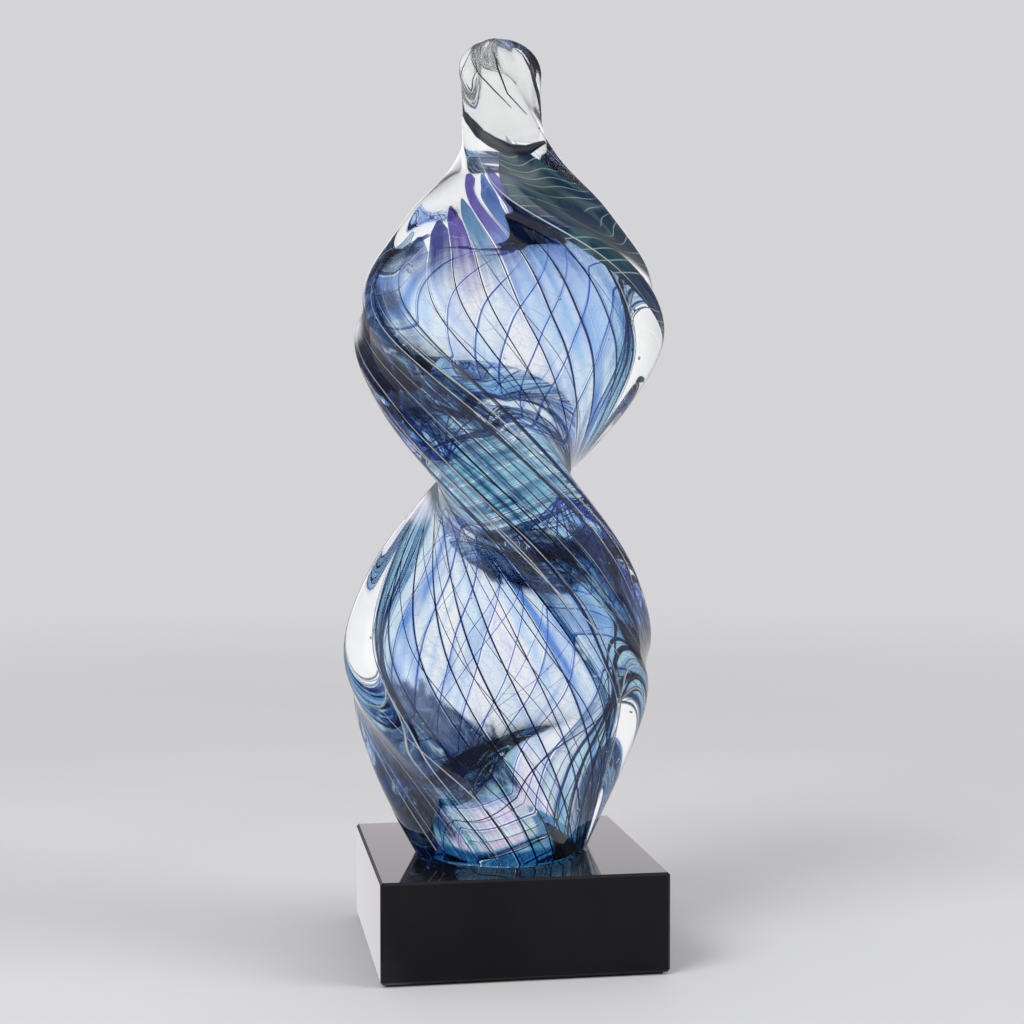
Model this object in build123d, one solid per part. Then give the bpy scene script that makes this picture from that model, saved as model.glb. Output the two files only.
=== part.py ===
"""Twisted art glass sculpture on a black glass block.

Millimetres and degrees, +Z up, origin at the middle of the underside of the felt pad.
A slab of clear glass is drawn up to a rounded tip and twisted to the left, so its narrow sides wind round it.
Inside lies a clear gather with a ring of canes laid on it, dark stringers and wider colour bars by turns.
The twist carries the whole ring round, and clear glass cases it.
"""

from build123d import *
from math import cos, pi, radians, sin
import os

# Base block, its felt and the adhesive under the glass
base_width = 90.0
base_depth = 90.0
base_height = 31.2
base_chamfer = 0.8
felt_thickness = 0.8
felt_inset = 2.0
bond_thickness = 0.2
bond_inset = 2.5

# Glass slab: width, thickness and corner radius where its shape changes
foot_width, foot_thickness, foot_corner = 57.5, 52.0, 22.0
ankle_width, ankle_thickness, ankle_corner = 75.5, 58.5, 17.0
lower_lobe_width, lower_lobe_thickness, lower_lobe_corner = 96.5, 52.0, 13.0
lower_flank_width, lower_flank_thickness, lower_flank_corner = 90.5, 47.5, 12.0
waist_width, waist_thickness, waist_corner = 88.0, 43.0, 11.0
upper_flank_width, upper_flank_thickness, upper_flank_corner = 90.5, 47.5, 12.0
upper_lobe_width, upper_lobe_thickness, upper_lobe_corner = 97.0, 48.5, 13.0
shoulder_width, shoulder_thickness, shoulder_corner = 85.0, 48.5, 13.0
throat_width, throat_thickness, throat_corner = 55.5, 48.0, 11.0
collar_width, collar_thickness, collar_corner = 37.0, 32.0, 8.0
neck_width, neck_thickness, neck_corner = 28.5, 24.5, 6.5
finger_width, finger_thickness, finger_corner = 27.0, 19.0, 6.0

# Glass slab: heights of those places above its foot
ankle_height = 26.0
lower_lobe_height = 58.0
lower_flank_height = 90.0
waist_height = 118.0
upper_flank_height = 144.0
upper_lobe_height = 170.0
shoulder_height = 190.0
throat_height = 208.0
collar_height = 222.0
neck_height = 234.0
finger_height = 251.0
glass_height = 263.0

# Twist of the slab: where its width points at the foot, and the degrees it would turn over the whole
# height of the glass at the pace of its foot and at the pace of its tip
foot_turn_angle = 60.0
foot_twist_angle = 297.0
tip_twist_angle = 505.0
axis_offset = 1.9

# Colour ring inside the slab
stringer_count = 24
stringer_width = 1.4
ring_thickness = 1.2
face_wall = 5.5
near_wall = 4.0
far_wall = 11.0
foot_wall = 6.5
colour_height = 206.0
fusion_gap = 0.1

# Heights between which the clear wall of the two narrow sides, -x and +x, turns thick or thin
minus_thick_start, minus_thick_end = 0.0, 62.0
minus_thin_start, minus_thin_end = 168.0, 206.0
plus_thin_start, plus_thin_end = 58.0, 108.0
plus_thick_start, plus_thick_end = 172.0, 208.0

# Corners of the cross-sections: the least radius, and the most as a share of the shorter side
least_corner = 1.0
corner_share = 0.48

# Cross-sections of the twisted pieces: turn from one to the next, and places round the tip
section_turn_angle = 15.0
least_steps = 8
tip_section_angles = (25.0, 48.0, 66.0, 80.0)

felt_top = felt_thickness
base_top = felt_top + base_height
foot_level = base_top + bond_thickness

slab_sections = [
    (0.0, foot_width, foot_thickness, foot_corner),
    (ankle_height, ankle_width, ankle_thickness, ankle_corner),
    (lower_lobe_height, lower_lobe_width, lower_lobe_thickness, lower_lobe_corner),
    (lower_flank_height, lower_flank_width, lower_flank_thickness, lower_flank_corner),
    (waist_height, waist_width, waist_thickness, waist_corner),
    (upper_flank_height, upper_flank_width, upper_flank_thickness, upper_flank_corner),
    (upper_lobe_height, upper_lobe_width, upper_lobe_thickness, upper_lobe_corner),
    (shoulder_height, shoulder_width, shoulder_thickness, shoulder_corner),
    (throat_height, throat_width, throat_thickness, throat_corner),
    (collar_height, collar_width, collar_thickness, collar_corner),
    (neck_height, neck_width, neck_thickness, neck_corner),
    (finger_height, finger_width, finger_thickness, finger_corner),
]


def slope(index, column):
    """Slope of one measure of the slab at a listed section, from its neighbours."""
    if index == 0:
        low, high = slab_sections[0], slab_sections[1]
        return 2 * (high[column] - low[column]) / (high[0] - low[0]) - slope(1, column)
    if index == len(slab_sections) - 1:
        return 0.0
    low, here, high = slab_sections[index - 1 : index + 2]
    below = (here[column] - low[column]) / (here[0] - low[0])
    above = (high[column] - here[column]) / (high[0] - here[0])
    return (below * (high[0] - here[0]) + above * (here[0] - low[0])) / (high[0] - low[0])


def slab_measure(height, column):
    """One measure of the slab at a height above its foot, on a smooth curve through the listed sections."""
    last = len(slab_sections) - 1
    if height >= slab_sections[last][0]:
        return slab_sections[last][column]
    index = max(i for i in range(last) if slab_sections[i][0] <= height)
    low, high = slab_sections[index], slab_sections[index + 1]
    span = high[0] - low[0]
    t = (height - low[0]) / span
    return (
        (1 + 2 * t) * (1 - t) ** 2 * low[column]
        + t * (1 - t) ** 2 * span * slope(index, column)
        + t**2 * (3 - 2 * t) * high[column]
        + t**2 * (t - 1) * span * slope(index + 1, column)
    )


def turned(height):
    """Degrees that the slab has turned about the upright axis between its foot and a height above it."""
    rise = height / glass_height
    return foot_twist_angle * rise + (tip_twist_angle - foot_twist_angle) * rise**2 / 2


def slab_plane(height):
    """Work plane of the slab's cross-section: x along its width, off the twist axis by the offset."""
    angle = radians(foot_turn_angle - turned(height))
    along = Vector(cos(angle), sin(angle), 0)
    origin = Vector(0, 0, foot_level + height) - along * axis_offset
    return Plane(origin=origin, x_dir=along, z_dir=(0, 0, 1))


def even_heights(top):
    """Heights from the foot to the top, close enough together for a smooth twist."""
    steps = max(least_steps, round(turned(top) / section_turn_angle))
    return [top * i / steps for i in range(steps + 1)]


def rounded_slab(height, shrink=1.0):
    """Cross-section of the whole slab at a height above its foot."""
    width = slab_measure(height, 1) * shrink
    thickness = slab_measure(height, 2) * shrink
    corner = min(slab_measure(height, 3) * shrink, corner_share * min(width, thickness))
    return slab_plane(height) * RectangleRounded(width, thickness, corner)


def slab_body():
    """The whole slab from foot to rounded tip, with nothing inside."""
    tip_start = finger_height
    tip_length = glass_height - tip_start
    sections = [rounded_slab(height) for height in even_heights(tip_start)]
    for angle in tip_section_angles:
        height = tip_start + tip_length * sin(radians(angle))
        sections.append(rounded_slab(height, cos(radians(angle))))
    return loft(sections)


def eased(height, start, end):
    """From 0 at one height to 1 at another, with a soft start and end."""
    way = min(max((height - start) / (end - start), 0.0), 1.0)
    return way * way * (3 - 2 * way)


def edge_walls(height):
    """Clear walls beyond the ring on the -x and +x narrow sides."""
    minus_wall = foot_wall + (far_wall - foot_wall) * eased(height, minus_thick_start, minus_thick_end)
    minus_wall -= (far_wall - near_wall) * eased(height, minus_thin_start, minus_thin_end)
    thin = eased(height, plus_thin_start, plus_thin_end) - eased(height, plus_thick_start, plus_thick_end)
    return minus_wall, far_wall - (far_wall - near_wall) * thin


def ring_point(height, depth, share):
    """Point of the colour ring at a share of the way round it, at a depth inside the casing's bore."""
    minus_wall, plus_wall = edge_walls(height)
    half_width = (slab_measure(height, 1) - minus_wall - plus_wall) / 2 - depth
    half_thickness = slab_measure(height, 2) / 2 - face_wall - depth
    corner = max(slab_measure(height, 3) - face_wall - depth, least_corner)
    side = half_thickness - corner
    face = half_width - corner
    bend = corner * pi / 2
    quarter = side + bend + face
    quadrant, way = divmod((share % 1.0) * 4 * quarter, quarter)
    step = way if quadrant in (0, 2) else quarter - way
    if step <= side:
        x, y = half_width, step
    elif step <= side + bend:
        angle = (step - side) / corner
        x, y = face + corner * cos(angle), side + corner * sin(angle)
    else:
        x, y = face - (step - side - bend), half_thickness
    x = -x if quadrant in (1, 2) else x
    y = -y if quadrant in (2, 3) else y
    return slab_plane(height).from_local_coords(Vector(x + (minus_wall - plus_wall) / 2, y, 0))


def twisted_bar(corners, top):
    """Bar with flat ends from the foot to a height, ruled from one cross-section to the next.

    Each corner keeps its depth and its share of the way round the ring, so bars side by side fit together.
    """
    sections = []
    for height in even_heights(colour_height)[:-1] + [top]:
        sections.append([ring_point(height, depth, share) for depth, share in corners])
    faces = [Face(Wire.make_polygon(section, close=True)) for section in (sections[0], sections[-1])]
    for low, high in zip(sections, sections[1:]):
        for i in range(len(corners)):
            lower_edge = Edge.make_line(low[i - 1], low[i])
            upper_edge = Edge.make_line(high[i - 1], high[i])
            faces.append(Face.make_surface_from_curves(lower_edge, upper_edge))
    return Solid(Shell(faces))


def share_of(distance):
    """Share of the way round the ring that a distance takes at the waist."""
    ring_width = waist_width - sum(edge_walls(waist_height))
    return distance / (2 * (ring_width + waist_thickness - 2 * face_wall))


def stringer_sides():
    """Shares of the way round the ring at the two sides of each stringer."""
    half_share = share_of(stringer_width) / 2
    middles = [(i + 0.5) / stringer_count for i in range(stringer_count)]
    return [(middle - half_share, middle + half_share) for middle in middles]


def ring_body(depth, top):
    """Everything inside the ring at a depth, as one many-sided bar."""
    return twisted_bar([(depth, share) for sides in stringer_sides() for share in sides], top)


def cane(start, end):
    """One cane between two shares of the way round, clear of what lies round it by the fusion gap."""
    outer, inner = fusion_gap, ring_thickness - fusion_gap
    left, right = start + share_of(fusion_gap / 2), end - share_of(fusion_gap / 2)
    corners = [(inner, left), (outer, left), (outer, right), (inner, right)]
    return twisted_bar(corners, colour_height - fusion_gap)


def colour_canes():
    """Stringers and colour bars by node name, in order round the ring."""
    canes = {}
    sides = stringer_sides()
    for i, (start, end) in enumerate(sides):
        next_start = sides[i + 1][0] if i + 1 < stringer_count else 1 + sides[0][0]
        canes[f"stringer_{i + 1:02d}"] = cane(start, end)
        canes[f"colour_bar_{i + 1:02d}"] = cane(end, next_start)
    return canes


def clear_casing():
    """Slab with a blind bore for the colour ring: its skin, the bore's skin and the foot between them."""
    slab = slab_body()
    bore = ring_body(0.0, colour_height)
    foot = slab.faces().sort_by(Axis.Z)[0]
    mouth = bore.faces().sort_by(Axis.Z)[0]
    foot_ring = Face(foot.outer_wire(), [mouth.outer_wire()])
    skins = [face for face in slab.faces() + bore.faces() if face not in (foot, mouth)]
    return Solid(Shell(skins + [foot_ring]))


def base_block():
    """Black glass block with ground and polished edges."""
    block = Pos(0, 0, felt_top + base_height / 2) * Box(base_width, base_depth, base_height)
    return chamfer(block.edges(), base_chamfer)


def felt_pad():
    """Felt under the block, set in from its sides."""
    pad = Box(base_width - 2 * felt_inset, base_depth - 2 * felt_inset, felt_thickness)
    return Pos(0, 0, felt_thickness / 2) * pad


def bond_film():
    """Clear adhesive between the block and the foot of the glass."""
    width = foot_width - 2 * bond_inset
    thickness = foot_thickness - 2 * bond_inset
    corner = foot_corner - bond_inset
    outline = slab_plane(0) * RectangleRounded(width, thickness, corner)
    return extrude(outline, -bond_thickness)


pieces = {
    "base_block": base_block(),
    "felt_pad": felt_pad(),
    "bond_film": bond_film(),
    "clear_casing": clear_casing(),
    "core_gather": ring_body(ring_thickness, colour_height - fusion_gap),
    **colour_canes(),
}

os.makedirs("parts", exist_ok=True)
for name, piece in pieces.items():
    export_step(piece, f"parts/{name}.step")
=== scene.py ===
import math

import bpy
import numpy as np
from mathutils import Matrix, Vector


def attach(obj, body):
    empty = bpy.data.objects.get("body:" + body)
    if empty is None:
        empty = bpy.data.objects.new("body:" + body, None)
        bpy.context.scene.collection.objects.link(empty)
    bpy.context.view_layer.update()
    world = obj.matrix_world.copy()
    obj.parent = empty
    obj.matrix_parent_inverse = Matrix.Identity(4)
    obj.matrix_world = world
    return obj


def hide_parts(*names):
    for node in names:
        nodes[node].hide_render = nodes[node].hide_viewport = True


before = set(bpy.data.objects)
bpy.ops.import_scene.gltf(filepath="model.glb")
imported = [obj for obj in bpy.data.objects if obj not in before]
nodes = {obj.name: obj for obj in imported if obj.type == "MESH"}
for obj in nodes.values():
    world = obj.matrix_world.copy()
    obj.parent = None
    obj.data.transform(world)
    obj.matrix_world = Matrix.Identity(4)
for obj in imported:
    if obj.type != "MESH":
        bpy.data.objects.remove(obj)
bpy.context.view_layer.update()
scene = bpy.context.scene
SEED = 7
rng = np.random.default_rng(SEED)
MM = 0.001

# The slab of glass: height above the foot, width, thickness and corner radius, in mm
SECTIONS = {
    "foot": (0, 57.5, 52, 22),
    "ankle": (26, 75.5, 58.5, 17),
    "lower_lobe": (58, 96.5, 52, 13),
    "lower_flank": (90, 90.5, 47.5, 12),
    "waist": (118, 88, 43, 11),
    "upper_flank": (144, 90.5, 47.5, 12),
    "upper_lobe": (170, 97, 48.5, 13),
    "shoulder": (190, 85, 48.5, 13),
    "throat": (208, 55.5, 48, 11),
    "collar": (222, 37, 32, 8),
    "neck": (234, 28.5, 24.5, 6.5),
    "finger": (251, 27, 19, 6),
}
SLAB = np.array(list(SECTIONS.values()), float)
WIDTH, THICKNESS, CORNER = 1, 2, 3
FINGER_HEIGHT = SLAB[-1, 0]
GLASS_HEIGHT = 263.0
FOOT_LEVEL = 32.2
FOOT_TURN = 60.0
FOOT_TWIST = 297.0
TIP_TWIST = 505.0
AXIS_OFFSET = 1.9
FRONT_ANGLE = 9.39
FRONT_STEPS = 360

# The ring of canes inside the slab
CANES = 24
CANE_NUMBERS = range(1, CANES + 1)
RING_THICKNESS = 1.2
FACE_WALL = 5.5
NEAR_WALL = 4.0
FAR_WALL = 11.0
FOOT_WALL = 6.5
A_THICKENS = (0.0, 62.0)
A_THINS = (168.0, 206.0)
B_THINS = (58.0, 108.0)
B_THICKENS = (172.0, 208.0)
COLOUR_HEIGHT = 206.0
COLOUR_RISE = 3.0
COLOUR_SLOPE = 16.0
TEAL = (22, 23, 24, 1, 2, 10, 11, 12, 13, 14)
BLUE = (4, 7, 9, 15, 18, 21)
VIOLET = (6, 19)
OPAL = (3, 5, 8, 16, 17, 20)

# Limits that keep shapes from folding over
CORNER_LIMIT = 0.96
RING_LEAST_CORNER = 1.0
WALL_LEAST_CORNER = 0.4
LEAST_HALF_WIDTH = 0.6
LEAST_HALF_THICKNESS = 0.5
TIP_LIMIT = 0.98


# Shapes that follow the slab
def slopes(column):
    """Three-point slope of one measure at every section."""
    h, c = SLAB[:, 0], SLAB[:, column]
    step = np.diff(c) / np.diff(h)
    out = np.zeros(len(h))
    for i in range(1, len(h) - 1):
        out[i] = (step[i - 1] * (h[i + 1] - h[i]) + step[i] * (h[i] - h[i - 1])) / (h[i + 1] - h[i - 1])
    out[0] = 2 * step[0] - out[1]
    return out


SLOPES = [None] + [slopes(c) for c in (WIDTH, THICKNESS, CORNER)]


def measure(height, column):
    """Width, thickness or corner of the slab at these heights."""
    h = np.clip(np.asarray(height, float), 0, FINGER_HEIGHT)
    i = np.clip(np.searchsorted(SLAB[:, 0], h, side="right") - 1, 0, len(SLAB) - 2)
    low, high = SLAB[i, 0], SLAB[i + 1, 0]
    span = high - low
    t = (h - low) / span
    a, b = SLAB[i, column], SLAB[i + 1, column]
    m, n = SLOPES[column][i] * span, SLOPES[column][i + 1] * span
    return (
        (2 * t**3 - 3 * t**2 + 1) * a
        + (t**3 - 2 * t**2 + t) * m
        + (3 * t**2 - 2 * t**3) * b
        + (t**3 - t**2) * n
    )


def round_place(half_width, half_thickness, corner, share):
    """Place on a rounded rectangle, a share of the way round from the middle of its +x side."""
    share = np.mod(share, 1.0)
    quarter = np.floor(share * 4)
    t = share * 4 - quarter
    t = np.where(np.mod(quarter, 2) == 1, 1 - t, t)
    a = half_thickness - corner
    b = half_width - corner
    arc = corner * math.pi / 2
    d = t * (a + arc + b)
    angle = np.clip((d - a) / np.maximum(corner, 1e-6), 0, math.pi / 2)
    x = np.where(d < a, half_width, np.where(d < a + arc, b + corner * np.cos(angle), b - (d - a - arc)))
    y = np.where(d < a, d, np.where(d < a + arc, a + corner * np.sin(angle), half_thickness))
    x = np.where((quarter == 1) | (quarter == 2), -x, x)
    y = np.where(quarter >= 2, -y, y)
    return x, y


def eased(height, low, high):
    """A smooth step from 0 to 1."""
    t = np.clip((np.asarray(height, float) - low) / (high - low), 0, 1)
    return t * t * (3 - 2 * t)


def ring_place(height, depth, share):
    """Place in the ring of canes, in the straight slab, at a depth below the ring's outside."""
    thinning = NEAR_WALL - FAR_WALL
    wall_a = FOOT_WALL + (FAR_WALL - FOOT_WALL) * eased(height, *A_THICKENS)
    wall_a = wall_a + thinning * eased(height, *A_THINS)
    wall_b = FAR_WALL + thinning * (eased(height, *B_THINS) - eased(height, *B_THICKENS))
    half_width = measure(height, WIDTH) / 2 - (wall_a + wall_b) / 2 - depth
    half_thickness = measure(height, THICKNESS) / 2 - FACE_WALL - depth
    corner = np.maximum(measure(height, CORNER) - FACE_WALL - depth, RING_LEAST_CORNER)
    corner = np.minimum(corner, CORNER_LIMIT * np.minimum(half_width, half_thickness))
    x, y = round_place(half_width, half_thickness, corner, share)
    return np.stack(np.broadcast_arrays(x + (wall_a - wall_b) / 2, y, np.asarray(height, float)), -1)


def wall_place(height, depth, share):
    """Place at a depth below the outside of the straight slab, its rounded tip included."""
    height = np.asarray(height, float)
    tip = np.clip((height - FINGER_HEIGHT) / (GLASS_HEIGHT - FINGER_HEIGHT), 0, TIP_LIMIT)
    shrink = np.sqrt(1 - tip * tip)
    half_width = np.maximum(measure(height, WIDTH) / 2 * shrink - depth, LEAST_HALF_WIDTH)
    half_thickness = np.maximum(measure(height, THICKNESS) / 2 * shrink - depth, LEAST_HALF_THICKNESS)
    corner = np.maximum(measure(height, CORNER) * shrink - depth, WALL_LEAST_CORNER)
    corner = np.minimum(corner, CORNER_LIMIT * half_thickness)
    x, y = round_place(half_width, half_thickness, corner, share)
    return np.stack(np.broadcast_arrays(x, y, height), -1)


def corner_share(height, depth):
    """Share of the way round from the middle of the +x side to the middle of its corner."""
    half_width = measure(height, WIDTH) / 2 - depth
    half_thickness = measure(height, THICKNESS) / 2 - depth
    corner = np.maximum(measure(height, CORNER) - depth, WALL_LEAST_CORNER)
    corner = np.minimum(corner, CORNER_LIMIT * half_thickness)
    bend = corner * math.pi / 2
    return (half_thickness - corner + bend / 2) / (half_thickness + half_width - 2 * corner + bend) / 4


def front_place(heights, across, depths):
    """Places below the outside that lie this far across from the axis, seen from the front."""
    share = np.linspace(0, 1, FRONT_STEPS + 1)[:-1]
    places = []
    for height, wanted, depth in zip(heights, across, np.broadcast_to(depths, len(heights))):
        outline = wall_place(np.full_like(share, height), depth, share)
        rise = height / GLASS_HEIGHT
        turned = FOOT_TWIST * rise + (TIP_TWIST - FOOT_TWIST) * rise**2 / 2
        angle = math.radians(FOOT_TURN - turned + FRONT_ANGLE)
        x, y = outline[:, 0] - AXIS_OFFSET, outline[:, 1]
        side = x * math.cos(angle) - y * math.sin(angle)
        away = x * math.sin(angle) + y * math.cos(angle)
        order = np.roll(np.arange(len(share)), -int(np.argmin(side)))
        turn = int(np.argmax(side[order]))
        chains = (order[: turn + 1], np.append(order[turn:], order[0])[::-1])
        front = min(chains, key=lambda chain: away[chain].mean())
        places.append([np.interp(wanted, side[front], outline[front, i]) for i in range(3)])
    return np.array(places)


def colour_top(share):
    """The colour climbs higher on the edge that faces forward at the neck."""
    return COLOUR_HEIGHT + COLOUR_RISE - COLOUR_SLOPE * np.cos(2 * math.pi * np.asarray(share))


# Meshes
def tube_faces(rows, around):
    """Faces between stacked closed rings."""
    i = np.arange(rows - 1)[:, None]
    j = np.arange(around)[None, :]
    k = (j + 1) % around
    faces = (i * around + j, i * around + k, (i + 1) * around + k, (i + 1) * around + j)
    return np.stack(faces, -1).reshape(-1, 4).tolist()


def pointed_faces(rows, around):
    """The same, closed by a point at the top and one at the foot."""
    faces = tube_faces(rows, around)
    top, foot = rows * around, rows * around + 1
    for j in range(around):
        k = (j + 1) % around
        faces.append((top - around + j, top - around + k, top))
        faces.append((k, j, foot))
    return faces


def new_mesh(name, places, faces, edges=()):
    mesh = bpy.data.meshes.new(name)
    mesh.from_pydata((np.asarray(places) * MM).tolist(), list(edges), [list(map(int, f)) for f in faces])
    mesh.update()
    obj = bpy.data.objects.new(name, mesh)
    scene.collection.objects.link(obj)
    return obj


def point_values(obj, name, values):
    layer = obj.data.attributes.new(name, "FLOAT", "POINT")
    layer.data.foreach_set("value", np.asarray(values, np.float32).ravel())


def uv_values(obj, uv):
    """One UV per vertex, spread to its corners."""
    layer = obj.data.uv_layers.new(name="CaneUV")
    corner = np.zeros(len(obj.data.loops), np.int32)
    obj.data.loops.foreach_get("vertex_index", corner)
    layer.data.foreach_set("uv", np.asarray(uv, np.float32)[corner].ravel())


# Node trees
SHAPE, FINISH, COUNT = "NodeSocketGeometry", "NodeSocketMaterial", "NodeSocketInt"
VECTOR, COLOUR, NUMBER = "NodeSocketVector", "NodeSocketColor", "NodeSocketFloat"


def new_tree(name, kind, inputs, outputs):
    """A node group, the sockets of its input node, and its output node."""
    tree = bpy.data.node_groups.new(name, kind)
    for label, socket_kind, value in inputs:
        socket = tree.interface.new_socket(label, in_out="INPUT", socket_type=socket_kind)
        if value is not None:
            socket.default_value = value
    for label, socket_kind in outputs:
        tree.interface.new_socket(label, in_out="OUTPUT", socket_type=socket_kind)
    return tree, tree.nodes.new("NodeGroupInput").outputs, tree.nodes.new("NodeGroupOutput")


def fed(tree, node, **values):
    """Sets or links a node's inputs by name, or by place as _0, _1."""
    for key, value in values.items():
        socket = node.inputs[int(key[1:])] if key[0] == "_" else node.inputs[key.replace("_", " ")]
        if isinstance(value, bpy.types.NodeSocket):
            tree.links.new(value, socket)
        else:
            socket.default_value = value
    return node


def calc(tree, operation, a, b=None, kind="ShaderNodeMath"):
    node = tree.nodes.new(kind)
    node.operation = operation
    fed(tree, node, _0=a)
    if b is not None:
        fed(tree, node, _1=b)
    return node.outputs[0]


def plus(tree, a, b):
    return calc(tree, "ADD", a, b)


def less(tree, a, b):
    return calc(tree, "SUBTRACT", a, b)


def times(tree, a, b):
    return calc(tree, "MULTIPLY", a, b)


def axes_of(tree, vector):
    return fed(tree, tree.nodes.new("ShaderNodeSeparateXYZ"), _0=vector).outputs


# Geometry nodes: one twist that every piece of glass follows
TWIST_INPUTS = (
    ("Geometry", SHAPE, None),
    ("Foot turn", NUMBER, FOOT_TURN),
    ("Foot twist", NUMBER, FOOT_TWIST),
    ("Tip twist", NUMBER, TIP_TWIST),
    ("Glass height", NUMBER, GLASS_HEIGHT * MM),
    ("Axis offset", NUMBER, AXIS_OFFSET * MM),
    ("Foot level", NUMBER, FOOT_LEVEL * MM),
)


def new_shape_tree(name, inputs):
    return new_tree(name, "GeometryNodeTree", inputs, (("Geometry", SHAPE),))


def make_twist():
    """Turns places in the straight slab into places in the twisted one."""
    tree, given, result = new_shape_tree("Twist with height", TWIST_INPUTS)
    x, y, z = axes_of(tree, tree.nodes.new("GeometryNodeInputPosition").outputs[0])
    rise = calc(tree, "DIVIDE", z, given["Glass height"])
    steady = times(tree, rise, given["Foot twist"])
    gain = less(tree, given["Tip twist"], given["Foot twist"])
    bend = times(tree, times(tree, rise, rise), times(tree, gain, 0.5))
    angle = calc(tree, "RADIANS", less(tree, given["Foot turn"], plus(tree, steady, bend)))
    flat = tree.nodes.new("ShaderNodeCombineXYZ")
    fed(tree, flat, _0=less(tree, x, given["Axis offset"]), _1=y)
    spin = tree.nodes.new("ShaderNodeVectorRotate")
    spin.rotation_type = "Z_AXIS"
    fed(tree, spin, Vector=flat.outputs[0], Angle=angle)
    lift = fed(tree, tree.nodes.new("ShaderNodeCombineXYZ"), _2=plus(tree, z, given["Foot level"]))
    moved = calc(tree, "ADD", spin.outputs[0], lift.outputs[0], "ShaderNodeVectorMath")
    put = tree.nodes.new("GeometryNodeSetPosition")
    fed(tree, put, Geometry=given["Geometry"], Position=moved)
    fed(tree, result, Geometry=put.outputs[0])
    return tree


def twist_node(tree, given, twist):
    node = tree.nodes.new("GeometryNodeGroup")
    node.node_tree = twist
    for label, _kind, _value in TWIST_INPUTS:
        tree.links.new(given[label], node.inputs[label])
    return node.outputs[0]


def finish_tree(tree, given, result, shape):
    smooth = fed(tree, tree.nodes.new("GeometryNodeSetShadeSmooth"), Geometry=shape)
    real = fed(tree, tree.nodes.new("GeometryNodeRealizeInstances"), Geometry=smooth.outputs[0])
    dyed = tree.nodes.new("GeometryNodeSetMaterial")
    fed(tree, dyed, Geometry=real.outputs[0], Material=given["Material"])
    fed(tree, result, Geometry=dyed.outputs[0])


def make_twisted_piece(twist):
    inputs = TWIST_INPUTS + (("Material", FINISH, None),)
    tree, given, result = new_shape_tree("Twisted piece", inputs)
    finish_tree(tree, given, result, twist_node(tree, given, twist))
    return tree


def make_drawn_threads(twist):
    """Lines laid up the straight slab become round threads in the twisted one."""
    inputs = TWIST_INPUTS + (("Material", FINISH, None), ("Sides", COUNT, 8))
    tree, given, result = new_shape_tree("Drawn threads", inputs)
    line = fed(tree, tree.nodes.new("GeometryNodeMeshToCurve"), Mesh=twist_node(tree, given, twist))
    size = tree.nodes.new("GeometryNodeInputNamedAttribute")
    size.data_type = "FLOAT"
    fed(tree, size, Name="thread_radius")
    ring = tree.nodes.new("GeometryNodeCurvePrimitiveCircle")
    fed(tree, ring, Resolution=given["Sides"], Radius=1.0)
    tube = tree.nodes.new("GeometryNodeCurveToMesh")
    fed(tree, tube, Curve=line.outputs[0], Profile_Curve=ring.outputs[0])
    fed(tree, tube, Scale=size.outputs[0], Fill_Caps=True)
    finish_tree(tree, given, result, tube.outputs[0])
    return tree


TWIST = make_twist()
TWISTED_PIECE = make_twisted_piece(TWIST)
DRAWN_THREADS = make_drawn_threads(TWIST)


def grown(obj, tree, **inputs):
    """Runs a tree on the object and keeps its result as a plain mesh."""
    modifier = obj.modifiers.new("grown", "NODES")
    modifier.node_group = tree
    for item in tree.interface.items_tree:
        if item.in_out == "INPUT" and item.name in inputs:
            modifier[item.identifier] = inputs[item.name]
    depsgraph = bpy.context.evaluated_depsgraph_get()
    made = bpy.data.meshes.new_from_object(obj.evaluated_get(depsgraph), depsgraph=depsgraph)
    obj.modifiers.remove(modifier)
    obj.data = made
    made.name = obj.name
    return obj


# Shader nodes
def mixed(tree, factor, a, b):
    node = tree.nodes.new("ShaderNodeMix")
    node.data_type = "RGBA"
    fed(tree, node, _0=factor, _6=a, _7=b)
    return node.outputs[2]


def ranged(tree, value, low, high):
    """A smooth step from 0 to 1, either way round."""
    node = tree.nodes.new("ShaderNodeMapRange")
    node.interpolation_type = "SMOOTHSTEP"
    fed(tree, node, Value=value, From_Min=low, From_Max=high)
    return node.outputs[0]


def between(tree, value, start, full, fall, end):
    """1 between full and fall, easing to 0 at start and end."""
    return times(tree, ranged(tree, value, start, full), ranged(tree, value, end, fall))


def waved(tree, value, pace, bend):
    """A sine wave along a value, bent by another."""
    return calc(tree, "SINE", plus(tree, times(tree, value, pace), bend))


def noised(tree, vector, scale, detail=3.0, distortion=0.0):
    node = tree.nodes.new("ShaderNodeTexNoise")
    fed(tree, node, Vector=vector, Scale=scale, Detail=detail, Distortion=distortion)
    return node.outputs[0]


def numbered(tree, value):
    """A random value for each whole number."""
    node = tree.nodes.new("ShaderNodeTexWhiteNoise")
    node.noise_dimensions = "1D"
    return fed(tree, node, W=calc(tree, "FLOOR", value)).outputs[0]


def scaled(tree, vector, by):
    return calc(tree, "MULTIPLY", vector, by, "ShaderNodeVectorMath")


def palette(tree, value, colours):
    """One of the colours, each for an equal share of the values."""
    node = tree.nodes.new("ShaderNodeValToRGB")
    ramp = node.color_ramp
    ramp.interpolation = "CONSTANT"
    while len(ramp.elements) < len(colours):
        ramp.elements.new(1.0)
    for i, colour in enumerate(colours):
        ramp.elements[i].position = i / len(colours)
        ramp.elements[i].color = colour
    fed(tree, node, _0=value)
    return node.outputs[0]


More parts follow.
